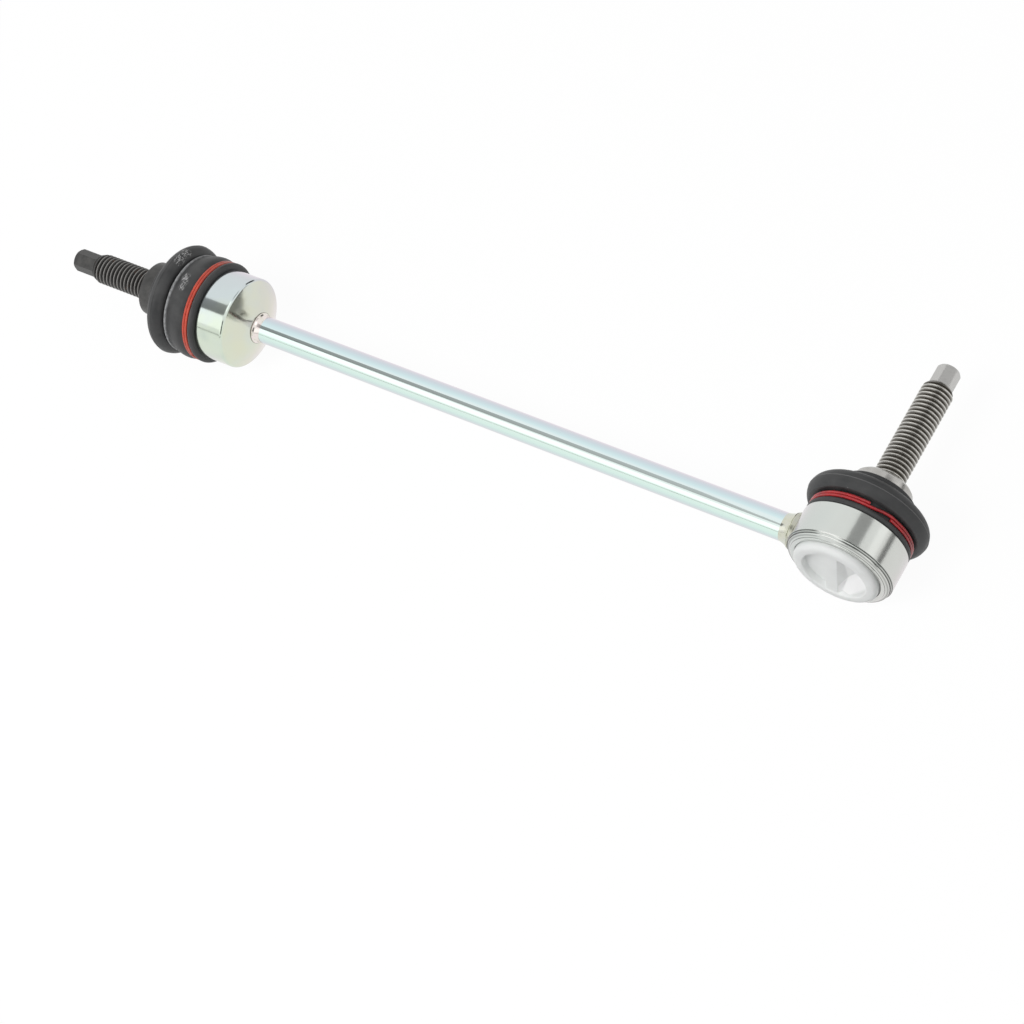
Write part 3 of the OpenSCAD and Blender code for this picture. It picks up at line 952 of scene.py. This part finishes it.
housing = turn(
    "square_housing",
    bow((16.65, -10.6), 0.5, 180, 270, 5)
    + [(17.5, -11.08)]
    + bow((17.55, -10.8), 0.28, 270, 350, 4)
    + [(17.88, -10.6), (18.1, -10.45), (18.95, -10.25)]
    + bow((19.0, -10.0), 0.25, 275, 355, 4)
    + [(19.27, -9.75), (19.2, -9.5), (19.28, -9.38)]
    + bow((19.35, -9.15), 0.28, 285, 350, 4)
    + [(19.66, -8.95), (19.6, -8.82), (19.82, -8.72)]
    + [
        (housing_radius, -8.55),
        (housing_radius, -8.4),
        (housing_radius, housing_top - 0.4),
        (housing_radius, housing_top - housing_edge),
        (housing_radius - housing_edge, housing_top),
        (housing_bore, housing_top),
        (housing_bore, flange_foot),
        (flange_radius, flange_foot),
        (flange_radius, flange_top - housing_edge),
        (flange_radius - housing_edge, flange_top),
        (11.29, flange_top),
        (8.42, 4.5),
        (step_radius, 4.5),
        (step_radius, 1.5),
        (housing_bore, 1.5),
        (housing_bore, -9.9),
        (16.15, -9.9),
    ],
    radial_centre,
    radial_axis,
    steps=192,
    closed=True,
)
smooth(housing, 26)

housing_zinc, tree, shader, colour = zinc_on_turning(
    "zinc_plate_on_housing",
    radial_centre,
    "Y",
    (1, 0, 0),
    [
        (0.00, (0.60, 0.64, 0.615)),
        (0.45, (0.645, 0.675, 0.645)),
        (1.00, (0.61, 0.62, 0.59)),
    ],
    rough=(0.13, 0.21),
    uneven=0.24,
)
height, _ = round_axis(tree, radial_centre, "Y")
# Painted light on the lip: bands of painted shade follow the fine grooves, and near one spot they give
# way to bands of painted highlight.
glint = near(tree, radial_centre + Vector((-1.7, -9.3, 19.5)) * MM, 6.5 * MM)
unlit = spread(tree, glint, 1, 0, 0.2, 0.8)
line_edge = 0.06
for low, high, strength in (
    (-10.72, -10.55, 0.9),
    (-10.34, -10.22, 0.6),
    (-9.66, -9.36, 1.0),
    (-9.36, -9.02, 0.3),
    (-8.98, -8.64, 1.0),
):
    groove = times(tree, between(tree, height, low, high, line_edge, strength), unlit)
    colour = lay_over(tree, colour, groove, (0.15, 0.162, 0.150))
for low, high in ((-9.95, -9.55), (-9.0, -8.6)):
    shine = times(tree, between(tree, height, low, high, line_edge), glint)
    colour = lay_over(tree, colour, shine, (0.92, 0.93, 0.90))
tree.links.new(colour, shader.inputs["Base Color"])
housing.data.materials.append(housing_zinc)
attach(housing, "link")
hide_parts("radial_housing")


# Weld at the square housing: flash that fills the corner all round the coped end of the rod.
# The rod swells towards it, two fine rings follow, and the plating on it has a yellow tint.
housing_weld = turn(
    "housing_weld_flash",
    [(rod_radius, -24.3), (5.36, -23.6), (5.62, -22.7), (6.0, -21.7), (6.25, -21.15)]
    + bow((6.3, -20.85), 0.28, -80, 80, 6)
    + [(6.3, -20.5)]
    + bow((6.6, -20.1), 0.35, -80, 0, 6)
    + [(6.95, -17.5), (rod_radius, -17.5)],
    rod_place,
    along_rod,
    closed=True,
)
cope(housing_weld)
smooth(housing_weld, 40)
housing_weld.data.materials.append(
    weld_finish(
        "zinc_plate_on_housing_weld",
        rod_place,
        [
            (0.30, (0.56, 0.56, 0.46)),
            (0.45, (0.64, 0.65, 0.54)),
            (0.57, (0.66, 0.66, 0.58)),
            (0.70, (0.58, 0.62, 0.56)),
        ],
        # The painted shade in the corner begins at this distance from the rod's axis, in mm.
        edge=6.9,
    )
)
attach(housing_weld, "link")
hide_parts("radial_weld")


# Square socket: one moulding of white bearing plastic that holds the ball and shows through the rolled
# lip. Its face is a broad round ring, and inside that one rib is left between two pockets, a flat one
# and a sloping one.
face = -13.5
face_corner = 2.0
recess = 12.2
recess_edge = 0.25
rib_sink = 0.6
pocket = 12.1
flat_depth = 2.6
slope_depth = 4.5
rib_turn = 4
rib_left = -3.5
rib_right = 0.5
rib_draft = 38

socket = turn(
    "square_socket",
    [(0, face + rib_sink), (recess - 0.5, face + rib_sink)]
    + bow((recess + recess_edge, face + recess_edge), recess_edge, 180, 270, 5)
    + bow((14.1, face + face_corner), face_corner, 270, 360)
    + [
        (16.1, -9.85),
        (16.9, -9.85),
        (16.9, 1.45),
        (12.5, 1.45),
        (12.5, 4.5),
        (8.42, 4.5),
    ]
    + bow((0, 0), 9.05, 22, -90, 16),
    radial_centre,
    radial_axis,
    steps=144,
)


def rib_block(edge, sense, draft=0):
    """A block that keeps a pocket's tool off the rib; draft leans the rib's wall."""
    half = 15
    inward = Vector((cos(radians(draft)), -sin(radians(draft)), 0)) * sense * half
    start_piece()
    bpy.ops.mesh.primitive_cube_add(
        size=1,
        location=radial_centre + (radial_axis * face + Vector((edge, 0, 0)) + inward) * MM,
        rotation=(0, radians(rib_turn), radians(-draft)),
        scale=Vector((2 * half, 2 * half, 4 * half)) * MM,
    )
    return bpy.context.object


def pocket_tool(name, depth):
    """A round tool, nearly as wide as the recess in the face and a little narrower at its end."""
    outline = [
        (0, face - 1),
        (pocket, face - 1),
        (pocket - 0.2, face + depth),
        (0, face + depth),
    ]
    return turn(name, outline, radial_centre, radial_axis, steps=96)


flat_pocket = pocket_tool("flat_pocket", flat_depth)
combine(flat_pocket, rib_block(rib_left, 1), "DIFFERENCE")
soften(flat_pocket, 0.4, 3)
combine(socket, flat_pocket, "DIFFERENCE")

slope_down = Vector((0.79, 0, -0.61))
slope_along = Vector((0.61, 0, 0.79))
slope_reach = 20
sloping_pocket = pocket_tool("sloping_pocket", slope_depth)
combine(sloping_pocket, rib_block(rib_right, -1, rib_draft), "DIFFERENCE")
valley = [
    radial_centre
    + (radial_axis * (face + deep) + slope_down * down - slope_along * slope_reach) * MM
    for down, deep in ((-14, -2), (-14, 0.5), (5.0, 3.9), (14, -1.3), (14, -2))
]
trough = draw_line("trough", valley)
bpy.ops.mesh.edge_face_add()
bpy.ops.mesh.extrude_region_move(
    TRANSFORM_OT_translate={"value": slope_along * 2 * slope_reach * MM}
)
bpy.ops.mesh.select_all(action="SELECT")
bpy.ops.mesh.normals_make_consistent(inside=False)
bpy.ops.object.mode_set(mode="OBJECT")
combine(sloping_pocket, trough, "INTERSECT")
soften(sloping_pocket, 0.3, 3, 45)
combine(socket, sloping_pocket, "DIFFERENCE")
smooth(socket, 26)

face_plastic, tree, shader, colour = bearing_plastic("white_bearing_plastic_face")
height, reach = round_axis(tree, radial_centre, "Y")
# Painted light: the rising floor of the sloping pocket is painted near white, as a lit patch.
on_rise = spread(tree, measure(tree, slope_down), 0, 1, 5.0 * MM, 5.2 * MM)
below_face = spread(tree, height, 0, 1, (face + 0.7) * MM, (face + 1.0) * MM)
in_pocket = spread(tree, reach, 1, 0, 11.6 * MM, 11.9 * MM)
lit_patch = times(tree, on_rise, below_face, in_pocket)
colour = lay_over(tree, colour, lit_patch, (0.98, 0.98, 0.98))
tree.links.new(colour, shader.inputs["Base Color"])
socket.data.materials.append(face_plastic)
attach(socket, "link")
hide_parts("radial_socket")


# Square ball stud: a longer stud of the same kind, left as bare steel, with a wide bevel on its collar.
# The thread's crests carry a painted highlight and its roots painted shade.
radial_collar = 10.9
radial_seat = 27.0
radial_thread_end = 70.3
radial_hex_foot = 70.5
radial_tip = 78.9

radial_stud = ball_and_collar(
    "square_stud",
    radial_centre,
    radial_axis,
    radial_collar,
    flare_foot=14.26,
    flare_top=18.5,
    seat=radial_seat,
    bevel=1.2,
    shank_end=radial_hex_foot,
)
combine(
    radial_stud,
    rolled_thread(radial_centre, radial_axis, radial_seat, radial_thread_end, 1.7, 1.1),
    "UNION",
)
combine(
    radial_stud,
    hexagon_tip(radial_centre, radial_axis, radial_hex_foot - hex_overlap, radial_tip, radians(-9)),
    "UNION",
)
smooth(radial_stud, 28)

stud_steel, tree, shader = finish_for("bare_steel_on_stud")
tone = grain(tree, (260, 200, 260), detail=4)
colour = ramp(tree, tone, [(0.3, (0.40, 0.39, 0.37)), (0.7, (0.50, 0.49, 0.47))])
height, reach = round_axis(tree, radial_centre, "Y")
on_thread = between(tree, height, radial_seat, 70.0, 0.2)
root_shade = spread(tree, reach, 1, 0, 5.4 * MM, 6.0 * MM)
crest_highlight = spread(tree, reach, 0, 1, 5.82 * MM, 5.96 * MM)
on_hexagon = spread(tree, height, 0, 1, 70.2 * MM, 70.6 * MM)
# Painted shade in the thread's roots and a painted highlight on its crests.
colour = lay_over(tree, colour, times(tree, root_shade, on_thread), (0.125, 0.115, 0.10))
colour = lay_over(tree, colour, times(tree, crest_highlight, on_thread), (0.66, 0.65, 0.61))
colour = lay_over(tree, colour, on_hexagon, (0.53, 0.525, 0.51))
tree.links.new(colour, shader.inputs["Base Color"])
shader.inputs["Metallic"].default_value = 1
rings = lathe_lines(tree, radial_centre, "Y", 2400)
past_collar = spread(tree, height, 0, 0.14, 26.8 * MM, 27.2 * MM)
rough = reckon(tree, "ADD", spread(tree, rings, 0.18, 0.26), past_collar)
tree.links.new(rough, shader.inputs["Roughness"])
relief(tree, shader, rings, 0.10, 0.02)
radial_stud.data.materials.append(stud_steel)
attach(radial_stud, "radial_stud_body")
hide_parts("radial_ball_stud")


# Square joint's boot: the same rubber with one round fold, which has a fine line of the mould's parting
# round it. The face towards the stud is dished between a soft ridge and the thick neck. The foot is slim
# behind the wire and the neck ring's groove is wide.
radial_fold = (18.62, 13.0)
radial_fold_radius = 4.35

radial_boot = turn(
    "square_boot_rubber",
    [(17.15, 3.75), (18.3, 3.75)]
    + bow((18.6, 5.05), bead_radius, -80, 90)
    + [(18.6, 7.0), (18.48, 7.8), (18.48, 9.3), (20.2, 9.32)]
    + bow(radial_fold, radial_fold_radius, -58, -3, 16)
    + [(23.07, 12.88), (23.07, 13.12)]
    + bow(radial_fold, radial_fold_radius, 3, 96, 20)
    + [(17.4, 17.2), (16.4, 16.85), (15.4, 16.85), (14.6, 17.2), (14.15, 17.8)]
    + neck_of_boot(radial_collar, 17.6, 22.1, ease=0.8)
    + bow((18.5, 13.0), 2.4, 115, -75, 10)
    + [(18.2, 9.95), (18.2, 9.55), (17.95, 8.0), (17.15, 8.0)],
    radial_centre,
    radial_axis,
    steps=160,
    closed=True,
)
smooth(radial_boot, 38)

radial_rubber, tree, shader, colour = dusty_rubber("square_boot_rubber", dust=0.35)
speck_noise = grain(tree, (420, 420, 420), detail=6, moved=(5, 2, 1))
colour = lay_over(tree, colour, spread(tree, speck_noise, 0, 1, 0.70, 0.73), (0.16, 0.16, 0.16))
_, reach = round_axis(tree, radial_centre, "Y")
parting = spread(tree, reach, 0, 0.8, 22.99 * MM, 23.05 * MM)
colour = lay_over(tree, colour, parting, (0.13, 0.13, 0.13))
tree.links.new(colour, shader.inputs["Base Color"])
radial_boot.data.materials.append(radial_rubber)
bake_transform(radial_boot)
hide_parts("radial_boot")


# Clamp ring of the square boot: the same spring wire, wound twice, in a deeper red.
# Its ends are towards the lower side.
radial_wire = wound_wire(
    "square_clamp_wire", radial_centre, radial_axis, ring=19.25, low=6.88, gap_at=28, gap=27
)
radial_wire.data.materials.append(
    red_coat("red_lacquer_square", (0.30, 0.010, 0.014), (0.50, 0.022, 0.026))
)
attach(radial_wire, "link")
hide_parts("radial_clamp_ring")


# Table: a white sheet under the link, which lies flat on it.
# It shows as white and still takes the link's soft shadow.
table_glow = 1.08
glow_share = 0.88


def not_diffuse(tree):
    """One for what is seen directly, in a reflection or through a clear piece; nothing for soft light."""
    seen = add(tree, "ShaderNodeLightPath").outputs
    either = reckon(tree, "MAXIMUM", seen["Is Camera Ray"], seen["Is Glossy Ray"])
    return reckon(tree, "MAXIMUM", either, seen["Is Transmission Ray"])


low_corner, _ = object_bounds()
start_piece()
bpy.ops.mesh.primitive_plane_add(size=12, location=(-0.15, 0, low_corner.z))
table = bpy.context.object
table.name = "table"
paper, tree, shader = finish_for("white_table")
tree.nodes.remove(shader)
share = reckon(tree, "MULTIPLY", not_diffuse(tree), glow_share)
matt = add(tree, "ShaderNodeBsdfDiffuse", {"Color": (0.5, 0.5, 0.5, 1)})
glow = add(tree, "ShaderNodeEmission", {"Color": (1, 1, 1, 1), "Strength": table_glow})
both = add(
    tree,
    "ShaderNodeMixShader",
    {0: share, 1: matt.outputs["BSDF"], 2: glow.outputs["Emission"]},
)
tree.links.new(both.outputs["Shader"], tree.nodes["Material Output"].inputs["Surface"])
table.data.materials.append(paper)


# Light: a white tent all round and two soft lamps, which light the link but don't show in it.
# Cards that only reflections show, dark ones and light ones, give the dark lines and the white bands
# along the bright metal.
tent_light = 0.44
tent_seen = 1.0
lamp_aim = (-0.13, -0.03, 0)
front_place = (-0.917, -1.329, 0.95)
front_size = (2.6, 0.88)

studio = bpy.data.worlds.new("white_tent")
bpy.context.scene.world = studio
studio.use_nodes = True
tree = studio.node_tree
back = tree.nodes["Background"]
level = spread(tree, not_diffuse(tree), tent_light, tent_seen, 0, 1)
tree.links.new(level, back.inputs["Strength"])
back.inputs["Color"].default_value = (1, 1, 1, 1)


def soft_lamp(name, place, size, power):
    """A soft lamp that lights the link and shows neither to the camera nor in a reflection."""
    start_piece()
    bpy.ops.object.light_add(type="AREA", location=place)
    made = bpy.context.object
    made.name = name
    made.rotation_euler = (Vector(lamp_aim) - Vector(place)).to_track_quat("-Z", "Y").to_euler()
    made.data.shape = "RECTANGLE"
    made.data.size, made.data.size_y = size
    made.data.energy = power
    made.visible_camera = False
    made.visible_glossy = False
    return made


front_lamp = soft_lamp("front_lamp", front_place, front_size, 8.3)
soft_lamp("key_lamp", (-0.4, -1.1, 1.55), (0.7, 0.6), 13.0)


def card(name, place, size, turned, first, last=None):
    """A sheet that only reflections show; its tone may run from one end to the other."""
    start_piece()
    bpy.ops.mesh.primitive_plane_add(size=1, location=place, rotation=turned)
    made = bpy.context.object
    made.name = name
    made.scale = (*size, 1)
    cloth, tree, shader = finish_for(name)
    tree.nodes.remove(shader)
    along = add(tree, "ShaderNodeSeparateXYZ", {"Vector": own_place(tree)}).outputs["X"]
    tone = spread(tree, along, first, first if last is None else last, -0.5, 0.5)
    glow = add(tree, "ShaderNodeEmission", {"Strength": tone})
    tree.links.new(glow.outputs["Emission"], tree.nodes["Material Output"].inputs["Surface"])
    made.data.materials.append(cloth)
    for ray in ("camera", "diffuse", "transmission", "shadow"):
        setattr(made, f"visible_{ray}", False)


level_sheet = (0, 0, 0)
upright = (pi / 2, 0, 0)
upright_at_right = (pi / 2, 0, radians(-65.7))
card("card_over_rod", (-1.1, -0.49, 1.5), (1.1, 0.76), (0, 0, radians(10)), 0.12, 0.58)
card("card_over_housing", (0.56, 0.80, 1.5), (0.84, 0.80), level_sheet, 0.38)
card("card_under_lamp", (-1.35, -2.0, 0.305), (4.3, 0.09), upright, 0.40)
card("card_at_right", (1.35, 0.61, 0.125), (1.6, 0.29), upright_at_right, 0.22)
card("card_behind", (0, 2.0, 0.5), (1.3, 1.0), upright, 0.08)
card("card_in_front", (0.55, -1.7, 1.15), (1.3, 1.4), upright, 0.08)
card("light_in_front", front_place, front_size, front_lamp.rotation_euler, 1.28)
card("light_overhead", (0.1, -0.2, 1.5), (0.9, 0.7), level_sheet, 1.5)
card("light_at_right", (1.45, 0.66, 0.8), (0.9, 0.55), upright_at_right, 1.22)


# Camera: a long lens, placed where the photograph was taken from.
# Its three directions and its place were fitted to the edges of the link in the photograph.
camera_data = bpy.data.cameras.new("camera")
camera = bpy.data.objects.new("camera", camera_data)
bpy.context.scene.collection.objects.link(camera)
camera_data.lens = 87.17
camera_data.sensor_width = 36
camera_data.clip_start = 0.01
right = Vector((0.84378, 0.49724, -0.20194))
upward = Vector((-0.33541, 0.78232, 0.52485))
backward = Vector((0.41897, -0.37513, 0.82689))
stand = Vector((0.25470, -0.39543, 0.73370))
camera.matrix_world = Matrix(
    (
        (right.x, upward.x, backward.x, stand.x),
        (right.y, upward.y, backward.y, stand.y),
        (right.z, upward.z, backward.z, stand.z),
        (0, 0, 0, 1),
    )
)
bpy.context.scene.camera = camera
bpy.context.scene.view_settings.view_transform = "Standard"
